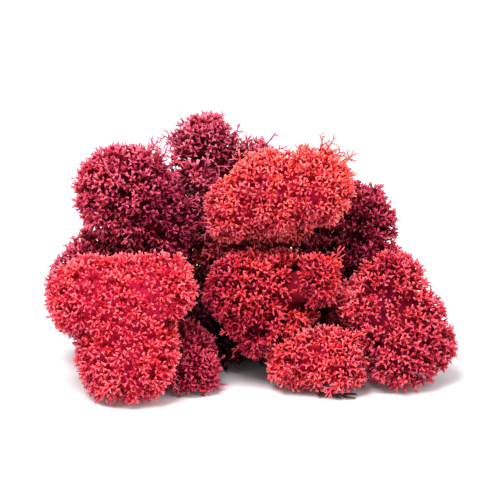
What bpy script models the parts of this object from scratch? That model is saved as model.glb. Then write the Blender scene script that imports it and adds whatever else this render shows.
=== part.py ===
"""A clump of reindeer moss: fifteen cushion heads, dyed red, that were cut and heaped together.

Each head is one solid whose free sides are a net of stars: a low hollow in the middle of each star,
with forked prongs leaning out from it over the low rim that it shares with its neighbours. Heads
press on each other in flat contact faces with a small gap, and those at the bottom stand on a flat
foot. A scrap of dead stem lies in front of the low head. Lengths are in millimetres and become
metres where a mesh is made. X runs to the right, Y to the back and Z up.
"""
import bpy
import bmesh
import numpy as np
from mathutils import Matrix, Vector

MM = 0.001                # metres in one millimetre
TOUCH_GAP = 0.3           # left between two heads that press on each other
LOBE_BLEND = 9.0          # higher values make the creases between lobes sharper
NEAR_HEADS = 16.0         # cells farther apart than this never need a contact face

STAR_SPACING = 6.8        # between the middles of neighbouring stars
HIDDEN_SPACING = 9.0      # between points on the contact faces and the feet
AXIL_DEPTH = 4.8          # from a head's outline down to the hollow in the middle of a star
RIM_DEPTH = 5.9           # and down to the rim between neighbouring stars
DEPTH_JITTER = 0.7
STAR_TRIES = 6000         # directions tried for the middle of a star on each head
FINENESS = {"under_left_head": 0.72, "low_centre_head": 0.72}   # small heads have finer stars
CONTACT_PRESS = 2.8       # a head is pressed flat where its outline would pass this far into another
CONTACT_COVER = 3.6       # and the other head's outline reaches this far past the spot
FOOT_PRESS = 2.2          # it is pressed flat as well where it would pass this far below the surface
# a forked prong stands on a triangle of its star's middle and two rim corners: the weights of the
# three in its notch and its two tips, and the depths below the outline that each is drawn between
FORK = (((0.10, 0.45, 0.45), 3.2, 4.4), ((0.08, 0.74, 0.18), 0.1, 1.6), ((0.08, 0.18, 0.74), 0.1, 1.6))
FORK_JITTER = 0.05        # on those weights
TAKE_TURNS = 1.5          # how loosely two neighbouring stars take turns at raising their prongs
FLAT_ANGLE = 0.002        # radians between faces that are merged into one
HEAD_ROUGHNESS = 0.85

STEM_RADIUS = 0.95
STEM_END = 0.55           # thickness at the two ends, as a share of the middle
STEM_LIFT = 0.05          # above the surface
STEM_GAP = 0.1            # from the stem to the plane that heads stay behind
STEM_SIDES = 6
STEM_COLOUR = (46, 18, 18)
STEM_ROUGHNESS = 0.9
STEM_ROUTE = ((23.8, -33.2), (27.5, -32.6), (31.5, -33.3), (36.2, -32.7))
STEM_FORK = ((27.5, -32.6), (31.0, -35.8))

# centre and radius of the cell a head fills, its lobes as offsets and radii, its colour in sRGB
HEADS = {
    "front_left_head": (
        (-42, -31, 24), 24,
        [((3.5, 0, -11), 18.5), ((-11, 3, 9), 14), ((14, 3, 13), 13), ((0, 4, 11), 13),
         ((1, 2, 4), 17), ((-1, 10, -1), 15.5)],
        (207, 50, 66)),
    "under_left_head": (
        (-20, -24, 9), 14,
        [((1, -1, -3), 11), ((-1, 6, 1), 12), ((-4, 2, 2), 12)],
        (145, 27, 50)),
    "upper_left_head": (
        (-40, -3, 60), 22,
        [((-1.5, -1, 2.5), 17), ((3, 1, -1), 16), ((8, 6, -11), 18)],
        (165, 42, 62)),
    "back_top_head": (
        (-9, 18, 62), 19,
        [((-5, 2, 9), 13), ((11, 4, 1), 12), ((-11, -9, -5), 15), ((0, 3, -9), 17)],
        (165, 52, 76)),
    "top_centre_head": (
        (9, -8, 61), 20,
        [((13, -3, 5), 14.5), ((-1, -3, 3), 15.5), ((-13, -3, -3), 12), ((0, 12, -6), 17.5)],
        (219, 77, 82)),
    "right_back_head": (
        (36, 10, 44), 18,
        [((0, 0, 3), 15.5), ((-5, 4, -11), 17), ((-10, 4, -5), 17), ((4, -7, -7), 12.5)],
        (120, 24, 41)),
    "middle_head": (
        (8, -16, 30), 20,
        [((-8, -1, 1), 16), ((16, -5, 7), 10.5), ((2, -2, -13), 15), ((2, 5, 0), 16)],
        (165, 36, 47)),
    "right_head": (
        (49, -13, 21), 20,
        [((1, -5, -8), 17.5), ((-2, 4, 11), 13.5), ((-12, -6, 2), 13), ((6, 0, 0), 12.5),
         ((13, -2, -8), 8.5), ((-13, 6, -6), 15)],
        (176, 46, 58)),
    "low_centre_head": (
        (22, -27, 10.5), 17,
        [((-5, 2, 1), 12), ((7, 1, 0), 13)],
        (199, 54, 67)),
    "deep_head": (
        (1, 6, 15), 17,
        [((-13, -5, -1), 18), ((4, -1, 0), 16), ((17, 0, 4), 16)],
        (110, 20, 36)),
    "left_side_head": (
        (-46, 3, 28), 21,
        [((-3, -2, -2), 19), ((5, 5, -8), 20), ((3, 0, 8), 17), ((13, -3, -11), 19)],
        (158, 38, 56)),
    "back_left_head": (
        (-32, 30, 22), 22,
        [((-3, 2, -7), 20.5), ((6, -5, 8), 18)],
        (172, 42, 60)),
    "back_low_head": (
        (0, 40, 15), 18,
        [((-7, -1, -4), 17), ((8, 1, 0), 15), ((1, -6, 4), 15)],
        (150, 32, 52)),
    "back_middle_head": (
        (-2, 21, 38), 20,
        [((-8, 2, -1), 17), ((9, 1, -3), 17), ((1, -8, 3), 18), ((-1, 8, -2), 16)],
        (188, 50, 62)),
    "back_right_head": (
        (36, 27, 18), 20,
        [((5, -1, -6), 19.5), ((-7, 4, 4), 16), ((6, -13, 0), 15), ((-8, -6, 6), 16)],
        (164, 38, 54)),
}


def clear_scene():
    for old in list(bpy.data.objects):
        bpy.data.objects.remove(old, do_unlink=True)


def lobe_reach(directions, lobes):
    """Distance from a head's centre to its outline: the rays' exits from all lobes, blended."""
    total = np.zeros(len(directions))
    for offset, radius in lobes:
        offset = np.array(offset, float)
        along = directions @ offset
        inside = along ** 2 - offset @ offset + radius ** 2
        exit_distance = np.where(inside > 0, along + np.sqrt(np.maximum(inside, 0)), 0)
        total += np.maximum(exit_distance, 0) ** LOBE_BLEND
    return total ** (1 / LOBE_BLEND)


def contact_plane(first, second):
    """Overlap of the round cells of two heads, and the plane through the circle where they meet."""
    a, first_radius = np.array(HEADS[first][0], float), HEADS[first][1]
    b, second_radius = np.array(HEADS[second][0], float), HEADS[second][1]
    distance = np.linalg.norm(b - a)
    normal = (b - a) / distance
    along = (distance ** 2 + first_radius ** 2 - second_radius ** 2) / (2 * distance)
    return first_radius + second_radius - distance, normal, normal @ a + along


def contact_planes():
    """For each head, the planes it stays behind: a normal, a distance along it and the neighbour."""
    planes = {name: [(np.array((0.0, 0.0, -1.0)), 0.0, "floor")] for name in HEADS}
    names = list(HEADS)
    for i, first in enumerate(names):
        for second in names[i + 1:]:
            overlap, normal, level = contact_plane(first, second)
            if overlap > -NEAR_HEADS:
                planes[first].append((normal, level - TOUCH_GAP / 2, second))
                planes[second].append((-normal, -level - TOUCH_GAP / 2, first))
    for name in ("low_centre_head", "right_head"):
        planes[name].append(stem_plane(name))
    return planes


def stem_plane(name):
    """Plane that keeps a head behind and above the scrap of stem in front of it."""
    route = np.array(STEM_ROUTE)
    start = np.array((route[0][0], route[:, 1].max(), STEM_RADIUS))
    end = np.array((route[-1][0], route[:, 1].max(), STEM_RADIUS))
    axis = (end - start) / np.linalg.norm(end - start)
    towards = np.array(HEADS[name][0], float) - start
    towards -= axis * (towards @ axis)
    normal = -towards / np.linalg.norm(towards)
    return normal, normal @ start - STEM_RADIUS - STEM_GAP, "stem_scrap"


def inside_head(points, name):
    """Whether points lie well within a head's outline."""
    centre, _, lobes, _ = HEADS[name]
    away = points - np.array(centre, float)
    distance = np.linalg.norm(away, axis=1)
    return distance < lobe_reach(away / distance[:, None], lobes) - CONTACT_COVER


def head_reach(directions, centre, lobes, planes):
    """Distance from a head's centre to its outline or contact face, and whether it is hidden there."""
    reach = lobe_reach(directions, lobes)
    outline = reach.copy()
    hidden = np.zeros(len(directions), bool)
    for normal, level, neighbour in planes:
        slope = np.maximum(directions @ normal, 1e-6)
        room = (level - normal @ centre) / slope
        nearer = room < reach
        reach = np.where(nearer, room, reach)
        if neighbour == "floor":
            pressed = outline - FOOT_PRESS > room
        elif neighbour == "stem_scrap":
            pressed = np.zeros(len(directions), bool)
        else:
            covered = inside_head(centre + directions * room[:, None], neighbour)
            pressed = covered & (outline - CONTACT_PRESS > room)
        hidden = np.where(nearer, pressed, hidden)
    return reach, hidden


def star_middles(centre, lobes, planes, fineness, rng):
    """Evenly spread directions from a head's centre, closer together on its free sides."""
    directions = rng.normal(size=(STAR_TRIES, 3))
    directions /= np.linalg.norm(directions, axis=1, keepdims=True)
    reach, hidden = head_reach(directions, centre, lobes, planes)
    points = directions * (reach - np.where(hidden, 0, AXIL_DEPTH * fineness))[:, None]
    chosen = np.zeros(0, int)
    for i in range(len(directions)):
        away = np.linalg.norm(points[chosen] - points[i], axis=1)
        if np.all(away > np.where(hidden[chosen] | hidden[i], HIDDEN_SPACING, STAR_SPACING) * fineness):
            chosen = np.append(chosen, i)
    return directions[chosen]


def hull_faces(directions):
    """Triangles that join neighbouring directions, as the faces of their convex hull."""
    hull = bmesh.new()
    for i, direction in enumerate(directions):
        hull.verts.new(direction).index = i
    bmesh.ops.convex_hull(hull, input=hull.verts)
    faces = [tuple(vert.index for vert in face.verts) for face in hull.faces]
    hull.free()
    return faces


def star_net(name, planes, rng):
    """Vertices and faces of one head: stars round low hollows, one forked prong for each pair."""
    centre, _, lobes, _ = HEADS[name]
    centre = np.array(centre, float)
    fineness = FINENESS.get(name, 1.0)
    middles = star_middles(centre, lobes, planes, fineness, rng)
    corners = hull_faces(middles)
    rims = np.array([middles[list(face)].sum(axis=0) for face in corners])
    rims /= np.linalg.norm(rims, axis=1, keepdims=True)
    directions = np.concatenate([middles, rims])
    depth = np.where(np.arange(len(directions)) < len(middles), AXIL_DEPTH, RIM_DEPTH)
    depth = (depth + rng.uniform(-DEPTH_JITTER, DEPTH_JITTER, len(directions))) * fineness
    reach, hidden = head_reach(directions, centre, lobes, planes)
    verts = list(centre + directions * (reach - np.where(hidden, 0, depth))[:, None])

    beside = {}
    for index, face in enumerate(corners):
        for k in range(3):
            beside[face[k], face[(k + 1) % 3]] = len(middles) + index
    prongs = np.zeros(len(middles))
    faces = []
    for (here, there), left in beside.items():
        if here > there:
            continue
        right = beside[there, here]
        faces += [(here, right, left), (there, left, right)]
        if hidden[[here, there, left, right]].any():
            continue
        lead = prongs[here] - prongs[there] + rng.uniform(-TAKE_TURNS, TAKE_TURNS)
        raised = here if lead < 0 else there
        prongs[raised] += 1
        foot, start, end = faces.pop(-2 if raised == here else -1)
        notch, tip, other_tip = len(verts), len(verts) + 1, len(verts) + 2
        for weights, high, low in FORK:
            shares = np.array(weights) + rng.uniform(-FORK_JITTER, FORK_JITTER, 3)
            spot = shares @ np.array([verts[foot], verts[start], verts[end]]) / shares.sum() - centre
            spot /= np.linalg.norm(spot)
            reach = head_reach(spot[None], centre, lobes, planes)[0][0]
            verts.append(centre + spot * (reach - rng.uniform(high, low) * fineness))
        faces += [(start, end, notch), (start, notch, tip), (notch, end, other_tip),
                  (foot, start, tip), (foot, tip, notch), (foot, notch, other_tip),
                  (foot, other_tip, end)]
    return verts, faces


def mesh_object(name, verts, faces):
    mesh = bpy.data.meshes.new(name)
    mesh.from_pydata([tuple(np.array(vert) * MM) for vert in verts], [], faces)
    made = bmesh.new()
    made.from_mesh(mesh)
    bmesh.ops.recalc_face_normals(made, faces=made.faces)
    made.to_mesh(mesh)
    made.free()
    item = bpy.data.objects.new(name, mesh)
    bpy.context.scene.collection.objects.link(item)
    return item


def fuse(item, others):
    """Join other objects to one in a single union, apply it and remove them."""
    group = bpy.data.collections.new(item.name + "_parts")
    bpy.context.scene.collection.children.link(group)
    for other in others:
        group.objects.link(other)
    union = item.modifiers.new("union", "BOOLEAN")
    union.operation = "UNION"
    union.operand_type = "COLLECTION"
    union.collection = group
    union.solver = "MANIFOLD"
    evaluated = item.evaluated_get(bpy.context.evaluated_depsgraph_get())
    joined = bpy.data.meshes.new_from_object(evaluated)
    item.modifiers.clear()
    item.data = joined
    for other in others:
        bpy.data.objects.remove(other, do_unlink=True)
    bpy.data.collections.remove(group)


def keep_largest_body(item):
    """Drop loose scraps and fill sealed hollows by keeping the outermost skin alone."""
    skin = bmesh.new()
    skin.from_mesh(item.data)
    bmesh.ops.triangulate(skin, faces=skin.faces)
    bodies = []
    unseen = set(skin.faces)
    while unseen:
        front = [unseen.pop()]
        body = list(front)
        while front:
            for edge in front.pop().edges:
                for face in edge.link_faces:
                    if face in unseen:
                        unseen.remove(face)
                        front.append(face)
                        body.append(face)
        bodies.append(body)
    bodies.sort(key=len)
    for body in bodies[:-1]:
        bmesh.ops.delete(skin, geom=body, context="FACES")
    skin.to_mesh(item.data)
    skin.free()


def linear_colour(srgb):
    share = np.array(srgb) / 255
    linear = np.where(share <= 0.04045, share / 12.92, ((share + 0.055) / 1.055) ** 2.4)
    return (*linear, 1.0)


def set_material(item, srgb, roughness):
    material = bpy.data.materials.new(item.name + "_material")
    material.use_nodes = True
    shader = material.node_tree.nodes["Principled BSDF"]
    shader.inputs["Base Color"].default_value = linear_colour(srgb)
    shader.inputs["Roughness"].default_value = roughness
    shader.inputs["Metallic"].default_value = 0.0
    item.data.materials.clear()
    item.data.materials.append(material)


def merge_flat_faces(item):
    """Take out the edges inside contact faces and feet, which are flat."""
    skin = bmesh.new()
    skin.from_mesh(item.data)
    bmesh.ops.dissolve_limit(skin, angle_limit=FLAT_ANGLE, verts=skin.verts, edges=skin.edges)
    bmesh.ops.triangulate(skin, faces=skin.faces)
    skin.to_mesh(item.data)
    skin.free()


def make_head(name, planes, seed):
    rng = np.random.default_rng(seed)
    verts, faces = star_net(name, planes, rng)
    head = mesh_object(name, verts, faces)
    merge_flat_faces(head)
    set_material(head, HEADS[name][3], HEAD_ROUGHNESS)
    return head


def stem_tube(name, route):
    """Crooked tube with thinner ends, lying along a route of X and Y points on the surface."""
    rings = []
    for i, (x, y) in enumerate(route):
        thick = STEM_RADIUS * (STEM_END if i in (0, len(route) - 1) else 1.0)
        before = np.array(route[max(i - 1, 0)])
        after = np.array(route[min(i + 1, len(route) - 1)])
        heading = np.append((after - before) / np.linalg.norm(after - before), 0)
        side = np.cross(heading, (0, 0, 1))
        middle = np.array((x, y, STEM_RADIUS + STEM_LIFT))
        angles = 2 * np.pi * np.arange(STEM_SIDES) / STEM_SIDES
        rings.append([middle + thick * (side * np.cos(a) + np.array((0, 0, 1)) * np.sin(a))
                      for a in angles])
    verts = [vert for ring in rings for vert in ring]
    faces = [tuple(range(STEM_SIDES)), tuple(range(len(verts) - STEM_SIDES, len(verts)))]
    for i in range(len(rings) - 1):
        for j in range(STEM_SIDES):
            a, b = i * STEM_SIDES + j, i * STEM_SIDES + (j + 1) % STEM_SIDES
            faces.append((a, b, b + STEM_SIDES, a + STEM_SIDES))
    return mesh_object(name, verts, faces)


def make_stem_scrap():
    scrap = stem_tube("stem_scrap", STEM_ROUTE)
    fuse(scrap, [stem_tube("stem_scrap_fork", STEM_FORK)])
    keep_largest_body(scrap)
    set_material(scrap, STEM_COLOUR, STEM_ROUGHNESS)
    return scrap


def stand_on_origin(items):
    """Move every mesh so that the middle of the clump's underside is the origin."""
    corners = np.concatenate([[vert.co[:] for vert in item.data.vertices] for item in items])
    low, high = corners.min(axis=0), corners.max(axis=0)
    middle = Vector(((low[0] + high[0]) / 2, (low[1] + high[1]) / 2, low[2]))
    for item in items:
        item.data.transform(Matrix.Translation(-middle))


def main():
    clear_scene()
    planes = contact_planes()
    items = [make_head(name, planes[name], seed) for seed, name in enumerate(HEADS, start=1)]
    items.append(make_stem_scrap())
    stand_on_origin(items)


main()
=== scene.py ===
import math

import bpy
import numpy as np
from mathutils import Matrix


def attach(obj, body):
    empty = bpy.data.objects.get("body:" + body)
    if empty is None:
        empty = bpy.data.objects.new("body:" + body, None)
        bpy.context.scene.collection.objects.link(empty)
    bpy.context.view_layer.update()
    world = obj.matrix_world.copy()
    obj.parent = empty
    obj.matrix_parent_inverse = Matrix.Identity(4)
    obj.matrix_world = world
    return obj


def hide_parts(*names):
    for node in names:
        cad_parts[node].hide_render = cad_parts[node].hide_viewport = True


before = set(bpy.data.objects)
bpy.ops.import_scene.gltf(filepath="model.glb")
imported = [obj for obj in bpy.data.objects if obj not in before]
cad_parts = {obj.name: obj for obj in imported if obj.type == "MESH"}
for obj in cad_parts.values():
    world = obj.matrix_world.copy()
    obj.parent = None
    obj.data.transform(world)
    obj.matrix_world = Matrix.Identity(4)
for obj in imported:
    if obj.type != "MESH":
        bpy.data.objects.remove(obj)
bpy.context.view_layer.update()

mm = 0.001

# The heads are laid out in millimetres round a point on the floor, as in the part's source.
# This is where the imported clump's middle is, seen from that point.
clumpMiddle = np.array((1.144, 3.3839, 0.0))

heap = {
    "lobeBlend": 9.0,        # higher makes the creases between lobes sharper
    "touchGap": 0.3,         # between two heads that press on each other
    "nearHeads": 16.0,       # heads farther apart than this never touch
    "edge": 0.9,             # rounding where an outline meets a contact face
    "wobble": 1.3,           # how far the contact faces wave to and fro
    "lumps": ((11.0, 0.6), (6.5, 0.3)),   # length and height of the waves on an outline
    "pressed": 3.0,          # how far an outline passes a contact face before tips are left out
    "covered": 3.4,          # and how far inside the neighbour such a spot has to be
    "coveredPlane": 1.36,    # and how far behind the neighbour's own contact faces
    "overFloor": 0.05,       # nothing of the moss lies lower than this
}

# Each head: its round cell, its lobes as offsets and radii, and how its moss grows. spacing is from
# star to star, airy is how open the branches are, rays is how many a full star has, and the tint is
# lighter where the head faces along its given direction and darker where it faces away from it: partly
# the dye's own unevenness, partly painted light and shade. tip, body and deep are the colours from the
# tips down to the roots, and the darkening toward the roots is painted shade.
heads = {
    "front_left_head": {
        "centre": (-42, -31, 24), "cell": 24,
        "lobes": [((3.5, 0, -11), 18.5), ((-11, 3, 9), 14), ((14, 3, 13), 13), ((0, 4, 11), 13),
                  ((1, 2, 4), 17), ((-1, 10, -1), 15.5)],
        "slot": "front_left_moss", "spacing": 2.55, "airy": 0.1, "rays": 4,
        "tip": "#FF7C84", "body": "#E8384C", "deep": "#BC1430", "dyeAndPaintedLight": (0.2, -0.1, 0.8)},
    "under_left_head": {
        "centre": (-20, -24, 9), "cell": 14,
        "lobes": [((1, -1, -3), 11), ((-1, 6, 1), 12), ((-4, 2, 2), 12)],
        "slot": "under_left_moss", "spacing": 2.6, "airy": 0.3, "rays": 4,
        "tip": "#DC5470", "body": "#B0243E", "deep": "#640418", "dyeAndPaintedLight": (0, 0, 1)},
    "upper_left_head": {
        "centre": (-40, -3, 60), "cell": 22,
        "lobes": [((-1.5, -1, 2.5), 17), ((3, 1, -1), 16), ((8, 6, -11), 18)],
        "slot": "upper_left_moss", "spacing": 2.8, "airy": 0.6, "rays": 4,
        "tip": "#F4708A", "body": "#C03450", "deep": "#580616", "dyeAndPaintedLight": (-1.5, 0, 1.3)},
    "back_top_head": {
        "centre": (-9, 18, 62), "cell": 19,
        "lobes": [((-5, 2, 9), 13), ((11, 4, 1), 12), ((-11, -9, -5), 15), ((0, 3, -9), 17)],
        "slot": "back_top_moss", "spacing": 3.0, "airy": 1.0, "rays": 4,
        "tip": "#E87C96", "body": "#C0405C", "deep": "#5C0A1C", "dyeAndPaintedLight": (0, 0, 1.6)},
    "top_centre_head": {
        "centre": (9, -8, 61), "cell": 20,
        "lobes": [((13, -3, 5), 14.5), ((-1, -3, 3), 15.5), ((-13, -3, -3), 12),
                  ((0, 12, -6), 17.5)],
        "slot": "top_centre_moss", "spacing": 2.55, "airy": 0.15, "rays": 4,
        "tip": "#FF807C", "body": "#EA4850", "deep": "#AC0E24", "dyeAndPaintedLight": (1.1, 0, 1.5)},
    "right_back_head": {
        "centre": (36, 10, 44), "cell": 18,
        "lobes": [((0, 0, 3), 15.5), ((-5, 4, -11), 17), ((-10, 4, -5), 17), ((4, -7, -7), 12.5)],
        "slot": "right_back_moss", "spacing": 2.9, "airy": 0.7, "rays": 4,
        "tip": "#CC4C68", "body": "#A0243E", "deep": "#400410", "dyeAndPaintedLight": (0.5, 0, 1.3)},
    "middle_head": {
        "centre": (8, -16, 30), "cell": 20,
        "lobes": [((-8, -1, 1), 16), ((16, -5, 7), 10.5), ((2, -2, -13), 15), ((2, 5, 0), 16)],
        "slot": "middle_moss", "spacing": 2.65, "airy": 0.45, "rays": 4,
        "tip": "#F6646E", "body": "#CE2C3E", "deep": "#6C0614", "dyeAndPaintedLight": (1.7, 0, 0.8)},
    "right_head": {
        "centre": (49, -13, 21), "cell": 20,
        "lobes": [((1, -5, -8), 17.5), ((-2, 4, 11), 13.5), ((-12, -6, 2), 13), ((6, 0, 0), 12.5),
                  ((13, -2, -8), 8.5), ((-13, 6, -6), 15)],
        "slot": "right_moss", "spacing": 2.65, "airy": 0.35, "rays": 4,
        "tip": "#F86E7E", "body": "#D2384C", "deep": "#7A0A1E", "dyeAndPaintedLight": (0, -0.3, 1.2)},
    "low_centre_head": {
        "centre": (22, -27, 10.5), "cell": 17,
        "lobes": [((-5, 2, 1), 12), ((7, 1, 0), 13)],
        "slot": "low_centre_moss", "spacing": 2.55, "airy": 0.2, "rays": 4,
        "tip": "#FF7880", "body": "#E24050", "deep": "#A00C20", "dyeAndPaintedLight": (-0.3, -0.5, 0.6)},
    # deep_head fills the hollow under the middle head, and all its colours are near black: painted
    # shade, for the hollow is dark from shade
    "deep_head": {
        "centre": (1, 6, 15), "cell": 17,
        "lobes": [((-13, -5, -1), 18), ((4, -1, 0), 16), ((17, 0, 4), 16)],
        "slot": "deep_moss", "spacing": 3.5, "airy": 0.8, "rays": 4,
        "tip": "#701A2C", "body": "#400E1A", "deep": "#0A0103", "dyeAndPaintedLight": (0, 0, 1)},
    "left_side_head": {
        "centre": (-46, 3, 28), "cell": 21,
        "lobes": [((-3, -2, -2), 19), ((5, 5, -8), 20), ((3, 0, 8), 17), ((13, -3, -11), 19)],
        "slot": "left_side_moss", "spacing": 3.1, "airy": 0.5, "rays": 4,
        "tip": "#E4607A", "body": "#B0304A", "deep": "#540416", "dyeAndPaintedLight": (-0.5, 0, 1)},
    "back_left_head": {
        "centre": (-32, 30, 22), "cell": 22,
        "lobes": [((-3, 2, -7), 20.5), ((6, -5, 8), 18)],
        "slot": "back_left_moss", "spacing": 3.1, "airy": 0.3, "rays": 4,
        "tip": "#F2687A", "body": "#C4344C", "deep": "#740A1C", "dyeAndPaintedLight": (0, 0.4, 1)},
    "back_low_head": {
        "centre": (0, 40, 15), "cell": 18,
        "lobes": [((-7, -1, -4), 17), ((8, 1, 0), 15), ((1, -6, 4), 15)],
        "slot": "back_low_moss", "spacing": 3.1, "airy": 0.3, "rays": 4,
        "tip": "#E05C76", "body": "#AC2C44", "deep": "#620818", "dyeAndPaintedLight": (0, 0.4, 1)},
    "back_middle_head": {
        "centre": (-2, 21, 38), "cell": 20,
        "lobes": [((-8, 2, -1), 17), ((9, 1, -3), 17), ((1, -8, 3), 18), ((-1, 8, -2), 16)],
        "slot": "back_middle_moss", "spacing": 3.1, "airy": 0.3, "rays": 4,
        "tip": "#F66E78", "body": "#D03C4A", "deep": "#7C0A1A", "dyeAndPaintedLight": (0, 0.4, 1)},
    "back_right_head": {
        "centre": (36, 27, 18), "cell": 20,
        "lobes": [((5, -1, -6), 19.5), ((-7, 4, 4), 16), ((6, -13, 0), 15), ((-8, -6, 6), 16)],
        "slot": "back_right_moss", "spacing": 3.1, "airy": 0.3, "rays": 4,
        "tip": "#EA6474", "body": "#B83446", "deep": "#6A0818", "dyeAndPaintedLight": (0, 0.4, 1)},
}


def unit(vectors):
    return vectors / np.linalg.norm(vectors, axis=-1, keepdims=True)


def fromHex(colour):
    # sRGB hex to the linear colour that shaders use
    share = np.array([int(colour[i:i + 2], 16) for i in (1, 3, 5)]) / 255
    linear = np.where(share <= 0.04045, share / 12.92, ((share + 0.055) / 1.055) ** 2.4)
    return (*linear, 1.0)


# Crossed waves: sin(a.p) * sin(b.p) at each point p, for two wave vectors a and b of one length, and
# the slope of it.
def crossedWaves(points, length, turn):
    a = np.array((math.cos(turn), math.sin(turn), 0.45)) * 2 * math.pi / length
    b = np.array((-0.5 * math.sin(turn), 0.5 * math.cos(turn), 0.95)) * 2 * math.pi / length
    first, second = points @ a, points @ b
    slope = (np.outer(np.cos(first) * np.sin(second), a)
             + np.outer(np.sin(first) * np.cos(second), b))
    return np.sin(first) * np.sin(second), slope


# Outline of a head: each lobe is a ball, and a ray from the head's centre leaves it at
# along + sqrt(along^2 - offset^2 + radius^2). The outline is the exits' power mean of a high order.
# It faces away from the lobes' middles, each weighed by its share in that mean.
def lobeSurface(directions, lobes):
    offsets = np.array([offset for offset, radius in lobes], float)
    radii = np.array([radius for offset, radius in lobes], float)
    along = directions @ offsets.T
    inside = along ** 2 - (offsets ** 2).sum(axis=1) + radii ** 2
    exits = np.where(inside > 0, along + np.sqrt(np.maximum(inside, 0)), 0)
    powers = np.maximum(exits, 0) ** heap["lobeBlend"]
    reach = powers.sum(axis=1) ** (1 / heap["lobeBlend"])
    shares = powers / powers.sum(axis=1, keepdims=True)
    away = unit(directions[:, None] * reach[:, None, None] - offsets)
    return reach, unit((shares[:, :, None] * away).sum(axis=1))


# Lumps: the outline is raised by crossed waves of two lengths, and its normals lean down their slope.
def lumpySurface(directions, head):
    reach, normals = lobeSurface(directions, head["lobes"])
    points = np.array(head["centre"], float) + directions * reach[:, None]
    for turn, (length, height) in enumerate(heap["lumps"]):
        wave, slope = crossedWaves(points, length, 0.7 + turn)
        reach = reach + height * wave
        normals = normals - height * (slope - normals * (slope * normals).sum(axis=1, keepdims=True))
    return reach, unit(normals)


# Two heads meet on the plane through the circle where their round cells cross.
def contactPlanes():
    planes = {name: [(np.array((0.0, 0.0, -1.0)), 0.0, None, 0)] for name in heads}
    names = list(heads)
    for i, first in enumerate(names):
        for second in names[i + 1:]:
            a, b = np.array(heads[first]["centre"], float), np.array(heads[second]["centre"], float)
            ra, rb = heads[first]["cell"], heads[second]["cell"]
            distance = np.linalg.norm(b - a)
            if distance - ra - rb < heap["nearHeads"]:
                normal = (b - a) / distance
                level = normal @ a + (distance ** 2 + ra ** 2 - rb ** 2) / (2 * distance)
                planes[first].append((normal, level - heap["touchGap"] / 2, second, 1))
                planes[second].append((-normal, -level - heap["touchGap"] / 2, first, -1))
    return planes


# Whether points lie well within a head: inside its outline and behind its planes, but for the one
# that it shares with the head that asks.
def insideHead(points, name, asking, planes):
    away = points - np.array(heads[name]["centre"], float)
    distance = np.linalg.norm(away, axis=1)
    inside = distance < lobeSurface(unit(away), heads[name]["lobes"])[0] - heap["covered"]
    for normal, level, neighbour, side in planes[name]:
        if neighbour and neighbour != asking:
            inside &= points @ normal < level - heap["coveredPlane"]
    return inside


# The head's free surface: the smooth minimum, edge * -log(sum of exp(-reach / edge)), of its outline
# and its contact planes, which wave to and fro. On a plane it faces halfway between the outline's
# normal and the plane's. A spot is hidden where it is pressed and lies well inside the neighbour.
def headSurface(name, directions, planes):
    head = heads[name]
    centre = np.array(head["centre"], float)
    outline, normals = lumpySurface(directions, head)
    reach, facing = outline.copy(), normals.copy()
    hidden = np.zeros(len(directions), bool)
    for normal, level, neighbour, side in planes[name]:
        slope = np.maximum(directions @ normal, 0.02)
        room = (level - normal @ centre) / slope
        nearer = room < reach
        covered = np.ones(len(directions), bool)
        if neighbour:
            spots = centre + directions * room[:, None]
            room = room + side * heap["wobble"] * crossedWaves(spots, 13.0, 0.3)[0] / slope
            nearer = room < reach
            covered = insideHead(spots, neighbour, name, planes)
            weight = 1 / (1 + np.exp(np.clip((room - reach) / heap["edge"], -30, 30)))
            facing = unit(facing + (unit(normals + normal) - facing) * weight[:, None])
            reach = np.minimum(reach, room) - heap["edge"] * np.log1p(
                np.exp(-np.abs(room - reach) / heap["edge"]))
        else:
            reach = np.minimum(reach, room)
        hidden = np.where(nearer, covered & (outline - heap["pressed"] > room), hidden)
    return reach, facing, hidden


# Even spread: all points get a random rank, and a point stays if no open point within the spacing
# ranks before it. Its neighbours are then closed, and this repeats until no point is open.
# Points too near to those already taken are closed from the start.
def evenSpread(points, spacing, rng, taken, clear):
    squares = (points ** 2).sum(axis=1)
    gaps = squares[:, None] + squares[None] - 2 * points @ points.T
    near = gaps < spacing ** 2
    rank = rng.permutation(len(points)).astype(np.float32)
    stays = np.zeros(len(points), bool)
    isOpen = ~(gaps[:, taken] < clear ** 2).any(axis=1)
    while isOpen.any():
        first = np.where(near & isOpen[None], rank[None], np.inf).min(axis=1)
        winners = isOpen & (rank <= first)
        stays |= winners
        isOpen &= ~near[:, winners].any(axis=1)
    return np.flatnonzero(stays)


# Strands: many tapered twigs at once. Each follows its path with rings of three points at its radii,
# and one triangle closes it at either end. Heights and tints go into the UV map.
def strands(paths, radii, heights, tints):
    count, steps = paths.shape[:2]
    side, other = acrossAxes(unit(paths[:, -1] - paths[:, 0]))
    angles = np.arange(3) * 2 * math.pi / 3
    ring = (side[:, None] * np.cos(angles)[None, :, None]
            + other[:, None] * np.sin(angles)[None, :, None])
    verts = (paths[:, :, None] + ring[:, None] * radii[:, :, None, None]).reshape(count, steps * 3, 3)
    last = steps * 3 - 3
    faces = [(0, 2, 1), (last, last + 1, last + 2)]
    for step in range(steps - 1):
        for k in range(3):
            a, b = step * 3 + k, step * 3 + (k + 1) % 3
            faces += [(a, b, b + 3), (a, b + 3, a + 3)]
    high = np.repeat(heights, 3, axis=1) + np.tile((0.0, 0.012, 0.006), steps)
    wide = tints[:, None] + np.tile((0.0, 0.012, 0.024), steps)
    return verts, np.array(faces), np.stack([high, wide], axis=-1)


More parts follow.
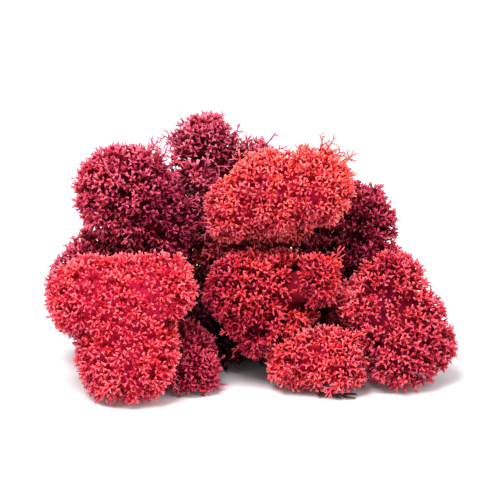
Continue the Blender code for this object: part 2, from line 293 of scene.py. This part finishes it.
def gather(groups):
    # many groups of equal shapes become one list of points, triangles and UV points
    points, triangles, uvs, start = [], [], [], 0
    for verts, faces, uv in groups:
        count, each = verts.shape[:2]
        offsets = start + np.arange(count) * each
        points.append(verts.reshape(-1, 3))
        triangles.append((faces[None] + offsets[:, None, None]).reshape(-1, 3))
        uvs.append(uv.reshape(-1, 2))
        start += count * each
    return np.concatenate(points), np.concatenate(triangles), np.concatenate(uvs)


def makePiece(name, groups, material, node):
    points, triangles, uvs = gather(groups)
    points[:, 2] = np.maximum(points[:, 2], heap["overFloor"])
    mesh = bpy.data.meshes.new(name)
    mesh.vertices.add(len(points))
    mesh.vertices.foreach_set("co", ((points - clumpMiddle) * mm).astype(np.float32).ravel())
    mesh.loops.add(triangles.size)
    mesh.loops.foreach_set("vertex_index", triangles.astype(np.int32).ravel())
    mesh.polygons.add(len(triangles))
    mesh.polygons.foreach_set("loop_start", np.arange(0, triangles.size, 3, dtype=np.int32))
    mesh.polygons.foreach_set("use_smooth", np.ones(len(triangles), bool))
    mesh.update(calc_edges=True)
    layer = mesh.uv_layers.new(name="OFBake")
    layer.data.foreach_set("uv", uvs[triangles.ravel()].astype(np.float32).ravel())
    mesh.validate()
    mesh.materials.append(material)
    piece = bpy.data.objects.new(name, mesh)
    bpy.context.scene.collection.objects.link(piece)
    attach(piece, "root")
    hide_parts(node)
    return len(triangles)


def addNode(tree, kind, settings=None, inputs=None):
    # one shader node, with its settings, fixed values and links
    node = tree.nodes.new(kind)
    for key, value in (settings or {}).items():
        setattr(node, key, value)
    for socket, value in (inputs or {}).items():
        if isinstance(value, bpy.types.NodeSocket):
            tree.links.new(value, node.inputs[socket])
        else:
            node.inputs[socket].default_value = value
    return node


def setRamp(node, stops):
    ramp = node.color_ramp
    for i, (place, colour) in enumerate(stops):
        element = ramp.elements[i] if i < 2 else ramp.elements.new(place)
        element.position, element.color = place, colour


# How a branch carries its stars. Lengths are in millimetres and angles in degrees from its axis.
# What a star's size scales is marked with a plus.
growth = {
    "rays": 32000,           # rays sent out from a head's centre
    "steepest": 0.06,        # least cosine between a ray and the surface that it ends on
    "tries": 4300,           # and the spots kept of where they end, evenly by area
    "lowest": 0.8,           # a star's spot is no nearer to the floor than this
    "depth": 7.0,            # from the tips down to the roots of the branches
    "airyDepth": 2.5,        # and how much deeper those of an airy head start
    "axil": 1.75,            # from the tips down to the open axil in the middle of a star
    "hole": 0.28,            # + from the axil's middle to where a ray starts
    "raySunk": 0.35,         # + and how far below the axil that is
    "rayLength": 1.2, "rayVary": (0.8, 1.25), "rayRadius": 0.36,                  # +
    "rayLean": 62, "rayLeanVary": 12, "rayTurnVary": 0.35,
    "tipLength": 0.85, "tipVary": (0.7, 1.25), "tipRadius": 0.33, "endRadius": 0.2,   # +
    "tipLean": 38, "tipLeanVary": (-14, 18), "tipSpread": 48, "tipSpreadVary": 14,
    "twinSunk": 0.12,        # share of its length that a second tip starts inside the ray
    "twinRadius": 0.92,      # and its radius at the fork, as a share of the first tip's
    "stalkRadius": 0.42, "stalkTaper": (1.2, 1.0, 0.7),
    "stalkBend": 0.6, "stalkSway": 0.3,      # where a stalk bends on its way up, and how far
    "stalkPast": 0.05,       # share of its upper part that it runs on into the axil
    "rootSway": 0.6,
    "lean": 16, "leanVary": 0.7,     # how far a branch leans off the outline's normal
    "sizeVary": (0.85, 1.2), "sizeFor": 2.6,     # a star is this big at this spacing
    "gapSpacing": 0.86,      # lower stars fill the gaps: their spacing as a share of the upper ones'
    "gapClear": 0.56,        # and their distance from those, as such a share
    "gapSink": 1.7,
    "thirdFrom": 0.5,        # heads airier than this have a third layer
    "thirdClear": 0.5, "thirdSink": 3.9,
    "sinkVary": 0.7, "airySinkVary": 1.4, "shadeSink": 1.6,
}


# Tint of a branch: broad dye patches, the head's lean (partly dye, partly painted light and shade) and
# some scatter, round the middle tint.
tint = {
    "middle": 0.5, "patches": 0.12, "dyeAndPaintedLight": 0.16, "scatter": 0.09, "range": (0.04, 0.94),
    "patchWaves": ((0.21, 0.13, 0.17), (-0.11, 0.19, 0.23)),     # radians for each millimetre
}


# The core that closes a head behind its branches. Waves are on the direction from its centre.
core = {
    "across": 44, "up": 22,
    "depth": 5.4, "airyDepth": 3.4, "wave": 0.7,
    "waves": ((9.0, 4.0, 2.0), (-3.0, 8.0, 7.0)),
    "steepest": 0.35,        # least cosine between a ray and the surface
    "mostShare": 0.5,        # and never sunk by more than this share of the ray
}


# Sprigs that stand proud: how many for each unit of a head's airiness, how long, the radii from root to
# tip, and where along the stem the forks leave it with what share of its length. Wisps are long
# ones at set places: a head, the direction from its centre, the length and how many.
sprigs = {
    "count": 34, "shortest": 3.4, "longest": 6.4,
    "rootSunk": 3.2, "wispSunk": 2.5, "leanVary": 0.22, "wispLeanVary": 0.25, "wispAimVary": 0.09,
    "wispVary": (0.7, 1.0), "tints": (0.35, 0.75),
    # heights place each part of a sprig in the colour ramp, darker near its root: the same painted
    # shade
    "along": (0.0, 0.4, 0.75, 1.0), "heights": (0.35, 0.62, 0.82, 0.95), "sway": 0.16,
    "radii": (0.34, 0.3, 0.24, 0.14),
    "radiiFor": 5,           # the radii are those of a sprig this long
    "turn": 2.4, "turnVary": 0.4,    # golden angle in radians from each fork to the next
    "forks": ((0.42, 0.3), (0.6, 0.26), (0.8, 0.2)),
    "wisps": (
        ("upper_left_head", (0.62, -0.1, 0.78), 9.0, 3),
        ("upper_left_head", (0.45, -0.2, 0.87), 7.5, 3),
        ("back_top_head", (-0.75, -0.3, 0.6), 8.5, 4),
        ("top_centre_head", (0.92, -0.1, 0.5), 7.5, 3),
        ("top_centre_head", (0.75, -0.2, 0.72), 6.5, 3),
    ),
}


# Two unit vectors across each axis, at right angles to it and to each other.
def acrossAxes(axes):
    helper = np.where(np.abs(axes[:, 2:]) > 0.8, (1.0, 0.0, 0.0), (0.0, 0.0, 1.0))
    side = unit(np.cross(axes, helper))
    return side, np.cross(axes, side)


# Height of points in the branches: 1 at the tips, falling to 0 at the depth of the roots. The colour
# ramp reads it, so the low parts are painted in shade.
def branchHeights(path, surface, normals):
    depth = ((surface[:, None] - path) * normals[:, None]).sum(axis=-1)
    return np.clip(1 - depth / growth["depth"], 0.02, 0.98)


# One star on each axil: rays leave it at rayLean from the axis, evenly round it with some scatter.
# Each ray bends up at its knee, where a second tip forks off to the other side. A direction at lean
# from the axis and turned by turn round it is out * sin(lean) + axis * cos(lean).
def starStrands(axils, axes, normals, surface, tints, rays, size, rng):
    stars = len(axils)
    side, other = acrossAxes(axes)
    start = rng.uniform(0, 2 * math.pi, stars)
    made = []
    for ray in range(rays):
        turnVary, leanVary = growth["rayTurnVary"], growth["rayLeanVary"]
        turn = start + 2 * math.pi * ray / rays + rng.uniform(-turnVary, turnVary, stars)
        lean = np.radians(growth["rayLean"] + rng.uniform(-leanVary, leanVary, stars))[:, None]
        out = side * np.cos(turn)[:, None] + other * np.sin(turn)[:, None]
        rayReach = size * growth["rayLength"] * rng.uniform(*growth["rayVary"], stars)[:, None]
        root = axils + out * growth["hole"] * size - axes * growth["raySunk"] * size
        knee = axils + rayReach * (out * np.sin(lean) + axes * np.cos(lean))
        for way in (-1, 1):
            spreadVary = growth["tipSpreadVary"]
            spread = growth["tipSpread"] + rng.uniform(-spreadVary, spreadVary, stars)
            tipTurn = turn + way * np.radians(spread)
            away = side * np.cos(tipTurn)[:, None] + other * np.sin(tipTurn)[:, None]
            rise = np.radians(growth["tipLean"] + rng.uniform(*growth["tipLeanVary"], stars))[:, None]
            tipReach = size * growth["tipLength"] * rng.uniform(*growth["tipVary"], stars)[:, None]
            tip = knee + tipReach * (away * np.sin(rise) + axes * np.cos(rise))
            if way < 0:
                path = np.stack([root, knee, tip], axis=1)
                radii = (growth["rayRadius"], growth["tipRadius"], growth["endRadius"])
            else:
                path = np.stack([knee - (tip - knee) * growth["twinSunk"], tip], axis=1)
                radii = (growth["tipRadius"] * growth["twinRadius"], growth["endRadius"])
            heights = branchHeights(path, surface, normals)
            made.append(strands(path, size * np.array(radii), heights, tints))
    return made


# Stalks: a branch comes up from its root, bends once and ends in the axil of its star.
def stalkStrands(axils, roots, surface, normals, tints, rng):
    bend = growth["stalkBend"]
    middle = axils * bend + roots * (1 - bend) + rng.normal(0, growth["stalkSway"], axils.shape)
    top = axils + (axils - middle) * growth["stalkPast"]
    path = np.stack([roots, middle, top], axis=1)
    radius = np.broadcast_to(np.array(growth["stalkTaper"]) * growth["stalkRadius"], path.shape[:2])
    return strands(path, radius, branchHeights(path, surface, normals), tints)


# Sprigs: thin antlers that stand proud of the cushion. A stem sways by its square on the way out, and
# three forks leave it in turn, each with a knee and two tips. A twig's parts mix the way out from the
# stem, the stem's axis and a little scatter.
def sprigStrands(roots, axes, lengths, tints, rng):
    count = len(roots)
    side, other = acrossAxes(axes)
    sway = rng.normal(0, sprigs["sway"], axes.shape)
    reach = lengths[:, None]
    steps = [roots + reach * (axes * t + sway * t * t) for t in sprigs["along"]]
    radius = np.outer(np.sqrt(lengths / sprigs["radiiFor"]), sprigs["radii"])
    heights = np.broadcast_to(np.array(sprigs["heights"]), (count, len(steps)))
    made = [strands(np.stack(steps, axis=1), radius, heights, tints)]
    start = rng.uniform(0, 2 * math.pi, count)
    turnVary = sprigs["turnVary"]
    for fork, (place, share) in enumerate(sprigs["forks"]):
        turn = start + fork * sprigs["turn"] + rng.uniform(-turnVary, turnVary, count)
        out = side * np.cos(turn)[:, None] + other * np.sin(turn)[:, None]
        foot = roots + reach * (axes * place + sway * place * place)
        twig = reach * share * rng.uniform(0.75, 1.25, count)[:, None]
        knee = foot + twig * (out * 0.8 + axes * 0.55)
        tip = knee + twig * (axes * 0.85 + out * 0.2 + rng.normal(0, 0.2, axes.shape))
        twin = knee + twig * (out * 0.8 + axes * 0.2 + rng.normal(0, 0.2, axes.shape))
        made.append(strands(np.stack([foot, knee, tip], axis=1), radius[:, [1, 2, 3]] * 0.9,
                            np.broadcast_to(np.array((0.6, 0.8, 0.95)), (count, 3)), tints))
        made.append(strands(np.stack([knee - (twin - knee) * 0.1, twin], axis=1),
                            radius[:, [2, 3]] * 0.8,
                            np.broadcast_to(np.array((0.8, 0.95)), (count, 2)), tints))
    return made


# Core of a head: the free surface sunk along the rays by depth / cos(angle to the normal), on a grid
# of longitude and latitude, with a product of sines added to the depth. Fans close the two poles.
def coreSurface(name, planes, depth):
    across, up = core["across"], core["up"]
    turn = np.arange(across) * 2 * math.pi / across
    tilt = np.arange(1, up) * math.pi / up
    grid = np.stack([np.outer(np.sin(tilt), np.cos(turn)), np.outer(np.sin(tilt), np.sin(turn)),
                     np.outer(np.cos(tilt), np.ones(across))], axis=-1).reshape(-1, 3)
    directions = np.concatenate([grid, [(0, 0, 1), (0, 0, -1)]])
    reach, normals, hidden = headSurface(name, directions, planes)
    first, second = core["waves"]
    waves = np.sin(directions @ np.array(first)) * np.sin(directions @ np.array(second))
    slant = np.clip((directions * normals).sum(axis=1), core["steepest"], 1)
    sunk = np.minimum((depth + core["wave"] * waves) / slant, core["mostShare"] * reach)
    verts = np.array(heads[name]["centre"], float) + directions * (reach - sunk)[:, None]
    faces = []
    for row in range(up - 2):
        for k in range(across):
            a, b = row * across + k, row * across + (k + 1) % across
            faces += [(a, a + across, b + across), (a, b + across, b)]
    top, bottom, last = len(grid), len(grid) + 1, (up - 2) * across
    for k in range(across):
        faces += [(top, k, (k + 1) % across), (bottom, last + (k + 1) % across, last + k)]
    # low in the height and spread over a patch of the UV map, for the deep colour: the core is painted
    # in shade
    uv = np.stack([0.02 + 0.06 * (directions[:, 0] + 1),
                   0.4 + 0.05 * directions[:, 1] + 0.03 * waves], axis=-1)
    return verts[None], np.array(faces), uv[None]


# Moss of one head. Each ray's share of the area is reach^2 / cos(angle to the normal), by which the
# spots for stars are drawn. Hidden spots and those at the floor get no stars.
def makeMoss(name, planes, seed):
    head = heads[name]
    rng = np.random.default_rng(seed)
    centre = np.array(head["centre"], float)
    directions = unit(rng.normal(size=(growth["rays"], 3)))
    reach, normals, hidden = headSurface(name, directions, planes)
    area = reach ** 2 / np.clip((directions * normals).sum(axis=1), growth["steepest"], 1)
    area[hidden | (reach * directions[:, 2] + centre[2] < growth["lowest"])] = 0
    kept = rng.choice(len(area), min(growth["tries"], np.count_nonzero(area)), replace=False,
                      p=area / area.sum())
    outline, normals = centre + directions[kept] * reach[kept, None], normals[kept]
    upper = evenSpread(outline, head["spacing"], rng, [], 0)
    lower = evenSpread(outline, head["spacing"] * growth["gapSpacing"], rng, upper,
                       head["spacing"] * growth["gapClear"])
    groups = [coreSurface(name, planes, core["depth"] + core["airyDepth"] * head["airy"])]
    layers = [(upper, 0.0), (lower, growth["gapSink"])]
    if head["airy"] > growth["thirdFrom"]:
        third = evenSpread(outline, head["spacing"], rng, lower, head["spacing"] * growth["thirdClear"])
        layers.append((third, growth["thirdSink"]))
    for layer, (chosen, sunk) in enumerate(layers):
        groups += sproutStars(head, outline[chosen], normals[chosen], layer, sunk, seed, rng)
    groups += sproutSprigs(name, centre, outline, normals, planes, rng)
    triangles = makePiece(name + "_moss", groups, dyedLichenPaintedShade(name), name)
    print(f"{name}: {len(upper)} upper and {len(lower)} lower stars, {triangles} triangles")
    return triangles


# One layer of branches. Some stars stand proud and some sink, more so on an airy head and on the side
# that faces away from its given direction. Only the top layer has full stars. A tint is middle +
# patches
# * sin * sin + lean * (normal along the head's direction) + scatter; the lean term is partly the dye's
# own and partly painted light and shade.
def sproutStars(head, outline, normals, layer, sunk, seed, rng):
    count = len(outline)
    airy = head["airy"]
    # how far each spot faces along the head's direction: the tint uses it as painted light and shade,
    # partly dye
    slope = normals @ np.array(head["dyeAndPaintedLight"], float)
    sunk = (sunk + rng.uniform(0, growth["sinkVary"] + growth["airySinkVary"] * airy, count)
            + growth["shadeSink"] * airy * np.clip(-slope, 0, 1))
    surface = outline - normals * sunk[:, None]
    lean = np.tan(np.radians(growth["lean"]))
    axes = unit(normals + lean * rng.normal(0, growth["leanVary"], normals.shape))
    axils = surface - axes * growth["axil"]
    first, second = tint["patchWaves"]
    patch = np.sin(surface @ np.array(first) + seed) * np.sin(surface @ np.array(second))
    tints = np.clip(tint["middle"] + tint["patches"] * patch + tint["dyeAndPaintedLight"] * slope
                    + rng.normal(0, tint["scatter"], count), *tint["range"])
    groups = []
    fuller = (rng.random(count) < 0.5) & (layer == 0)
    for mask, rays in ((fuller, head["rays"]), (~fuller, head["rays"] - 1)):
        vary = rng.uniform(*growth["sizeVary"], mask.sum())[:, None]
        size = head["spacing"] / growth["sizeFor"] * vary
        groups += starStrands(axils[mask], axes[mask], normals[mask], outline[mask], tints[mask],
                              rays, size, rng)
    roots = (outline - normals * (growth["depth"] + growth["airyDepth"] * airy)
             + rng.normal(0, growth["rootSway"], outline.shape))
    groups.append(stalkStrands(axils, roots, outline, normals, tints, rng))
    return groups


# Loose sprigs at random free spots of a head, and its wisps.
def sproutSprigs(name, centre, outline, normals, planes, rng):
    count = min(int(sprigs["count"] * heads[name]["airy"]), len(outline))
    chosen = rng.choice(len(outline), count, replace=False)
    roots = outline[chosen] - normals[chosen] * sprigs["rootSunk"]
    axes = unit(normals[chosen] + rng.normal(0, sprigs["leanVary"], (count, 3)))
    lengths = rng.uniform(sprigs["shortest"], sprigs["longest"], count)
    for owner, direction, length, number in sprigs["wisps"]:
        if owner == name:
            aims = unit(np.array(direction) + rng.normal(0, sprigs["wispAimVary"], (number, 3)))
            reach, facing, hidden = headSurface(name, aims, planes)
            scatter = rng.normal(0, sprigs["wispLeanVary"], (number, 3))
            roots = np.concatenate([roots, centre + aims * (reach - sprigs["wispSunk"])[:, None]])
            axes = np.concatenate([axes, unit(aims + facing + scatter)])
            lengths = np.concatenate([lengths, length * rng.uniform(*sprigs["wispVary"], number)])
    tints = rng.uniform(*sprigs["tints"], len(roots))
    return sprigStrands(roots, axes, lengths, tints, rng)


# Reindeer lichen, dried, then softened and dyed: matt hollow branches with no gloss. The colour runs
# from the light tips down to nearly black roots: painted shade in the depths of the cushion. The UV map
# holds the height in the branches across and the tint of each branch upwards.
def dyedLichenPaintedShade(name):
    head = heads[name]
    material = bpy.data.materials.new("dyedLichenPaintedShade_" + name)
    material.use_nodes = True
    tree = material.node_tree
    shader = tree.nodes["Principled BSDF"]
    place = addNode(tree, "ShaderNodeUVMap", {"uv_map": "OFBake"})
    parts = addNode(tree, "ShaderNodeSeparateXYZ", None, {0: place.outputs["UV"]})
    colour = addNode(tree, "ShaderNodeValToRGB", None, {0: parts.outputs["X"]})
    deep, body, tip = fromHex(head["deep"]), fromHex(head["body"]), fromHex(head["tip"])
    dark = tuple(0.72 * d + 0.28 * b for d, b in zip(deep, body))
    # ramp by height in the branches: the deep and dark stops are painted shade low in the cushion
    setRamp(colour, [(0.10, deep), (0.96, tip), (0.42, dark), (0.72, body)])
    # lightness and hue by tint: partly the dye's own unevenness, partly painted light and shade
    light = addNode(tree, "ShaderNodeMapRange", None,
                    {0: parts.outputs["Y"], 1: 0.0, 2: 1.0, 3: 0.62, 4: 1.38})
    hue = addNode(tree, "ShaderNodeMapRange", None,
                  {0: parts.outputs["Y"], 1: 0.0, 2: 1.0, 3: 0.488, 4: 0.508})
    tinted = addNode(tree, "ShaderNodeHueSaturation", None,
                     {"Hue": hue.outputs[0], "Value": light.outputs[0], "Color": colour.outputs[0]})
    rough = addNode(tree, "ShaderNodeMapRange", None,
                    {0: parts.outputs["X"], 1: 0.0, 2: 1.0, 3: 0.95, 4: 0.7})
    tree.links.new(tinted.outputs[0], shader.inputs["Base Color"])
    tree.links.new(rough.outputs[0], shader.inputs["Roughness"])
    shader.inputs["IOR"].default_value = 1.45
    shader.inputs["Specular IOR Level"].default_value = 0.12
    return material


# Dead stem: bark of a thin woody twig, dull and nearly black.
def deadBark():
    material = bpy.data.materials.new("deadBark")
    material.use_nodes = True
    tree = material.node_tree
    shader = tree.nodes["Principled BSDF"]
    place = addNode(tree, "ShaderNodeUVMap", {"uv_map": "OFBake"})
    parts = addNode(tree, "ShaderNodeSeparateXYZ", None, {0: place.outputs["UV"]})
    colour = addNode(tree, "ShaderNodeValToRGB", None, {0: parts.outputs["X"]})
    setRamp(colour, [(0.0, fromHex("#1C0A0C")), (1.0, fromHex("#5A2A2C")), (0.5, fromHex("#34161A"))])
    tree.links.new(colour.outputs[0], shader.inputs["Base Color"])
    shader.inputs["Roughness"].default_value = 0.85
    shader.inputs["IOR"].default_value = 1.5
    return material


stem = {
    "route": ((23.4, -33.4), (25.6, -32.7), (27.5, -32.6), (29.6, -33.3), (31.5, -33.4),
              (33.9, -32.6), (36.4, -32.8)),
    "fork": ((27.5, -32.6), (28.9, -34.3), (31.2, -36.0)),
    "spur": ((31.5, -33.4), (33.6, -35.2), (36.0, -35.6)),
    "radius": 0.85, "lift": 0.1, "liftVary": 0.35, "knots": (0.75, 1.2), "taper": 0.6,
    "twigs": (("route", 1.0), ("fork", 0.75), ("spur", 0.6)),    # how thick each one is
}


# Dead stem: crooked twigs through the points of their routes, each lying just above the floor. A ring's
# radius is the stem's by the twig's thickness, a random knot and a taper from 1 to its end.
def makeStem():
    rng = np.random.default_rng(40)
    groups = []
    for key, thick in stem["twigs"]:
        flat = np.array(stem[key], float)
        steps = len(flat)
        heights = stem["radius"] * thick + stem["lift"] + rng.uniform(0, stem["liftVary"], steps)
        path = np.column_stack([flat, heights])[None]
        knots = stem["radius"] * thick * rng.uniform(*stem["knots"], steps)
        radius = knots[None] * np.linspace(1, stem["taper"], steps)
        groups.append(strands(path, radius, rng.uniform(0.1, 0.9, (1, steps)), np.array([0.4])))
    triangles = makePiece("dead_stem_twigs", groups, deadBark(), "stem_scrap")
    print(f"stem_scrap: {len(groups)} twigs, {triangles} triangles")
    return triangles


studio = {
    "elevation": 17, "lens": 300, "distance": 1.4, "target": (0.0, 0.0, 0.040),
    "keyPower": 20.0, "keySize": 0.7, "keyPlace": (-0.3, -0.5, 1.1),
    "fillPower": 4.5, "fillPlace": (0.8, -0.7, 0.5),
    "world": 0.8, "floor": "#F4F3F5",
    # the wall stands farther off than a camera that goes round the part, which keeps within 1.8 m
    "floorBack": 1.8, "bendRadius": 0.5, "wallTop": 1.6, "halfWidth": 2.5,
}


# Floor and backdrop in one sheet: a profile that runs level, turns up on a quarter circle and
# rises, carried sideways.
def makeFloor():
    bend = np.linspace(0, math.pi / 2, 13)
    radius, back = studio["bendRadius"], studio["floorBack"]
    wide, high = studio["halfWidth"], studio["wallTop"]
    quarter = np.column_stack([back + radius * np.sin(bend), radius * (1 - np.cos(bend))])
    profile = np.concatenate([[(-wide, 0.0)], quarter, [(back + radius, high)]])
    x = np.linspace(-wide, wide, 3)
    points = np.stack([np.repeat(x, len(profile)), np.tile(profile[:, 0], 3),
                       np.tile(profile[:, 1], 3)], axis=-1)
    rows = len(profile)
    faces = [(i * rows + j, (i + 1) * rows + j, (i + 1) * rows + j + 1, i * rows + j + 1)
             for i in range(2) for j in range(rows - 1)]
    mesh = bpy.data.meshes.new("whiteSweep")
    mesh.from_pydata(points.tolist(), [], faces)
    material = bpy.data.materials.new("mattPaper")
    material.use_nodes = True
    shader = material.node_tree.nodes["Principled BSDF"]
    shader.inputs["Base Color"].default_value = fromHex(studio["floor"])
    shader.inputs["Roughness"].default_value = 0.9
    mesh.materials.append(material)
    floor = bpy.data.objects.new("whiteSweep", mesh)
    bpy.context.scene.collection.objects.link(floor)


def addLight(name, place, size, power, aim):
    data = bpy.data.lights.new(name, "AREA")
    data.shape, data.size, data.energy = "DISK", size, power
    lamp = bpy.data.objects.new(name, data)
    lamp.location = place
    direction = np.array(aim) - np.array(place)
    lamp.rotation_euler = (math.atan2(math.hypot(direction[0], direction[1]), -direction[2]), 0,
                           math.atan2(direction[1], direction[0]) - math.pi / 2)
    bpy.context.scene.collection.objects.link(lamp)


def makeStudio():
    makeFloor()
    addLight("keyLight", studio["keyPlace"], studio["keySize"], studio["keyPower"], studio["target"])
    addLight("fillLight", studio["fillPlace"], studio["keySize"], studio["fillPower"], studio["target"])
    world = bpy.data.worlds.new("studioWorld")
    world.use_nodes = True
    world.node_tree.nodes["Background"].inputs["Color"].default_value = (1, 1, 1, 1)
    world.node_tree.nodes["Background"].inputs["Strength"].default_value = studio["world"]
    bpy.context.scene.world = world
    tilt = math.radians(studio["elevation"])
    lens = bpy.data.cameras.new("camera")
    lens.lens, lens.clip_start, lens.clip_end = studio["lens"], 0.01, 20
    camera = bpy.data.objects.new("camera", lens)
    target = np.array(studio["target"])
    camera.location = target + studio["distance"] * np.array((0, -math.cos(tilt), math.sin(tilt)))
    camera.rotation_euler = (math.pi / 2 - tilt, 0, 0)
    bpy.context.scene.collection.objects.link(camera)
    bpy.context.scene.camera = camera
    bpy.context.scene.view_settings.view_transform = "Standard"
    print("studio: floor, two lights and the camera")


heapPlanes = contactPlanes()
total = 0
for seed, name in enumerate(heads, start=1):
    total += makeMoss(name, heapPlanes, seed)
total += makeStem()
makeStudio()
print("triangles in all", total)
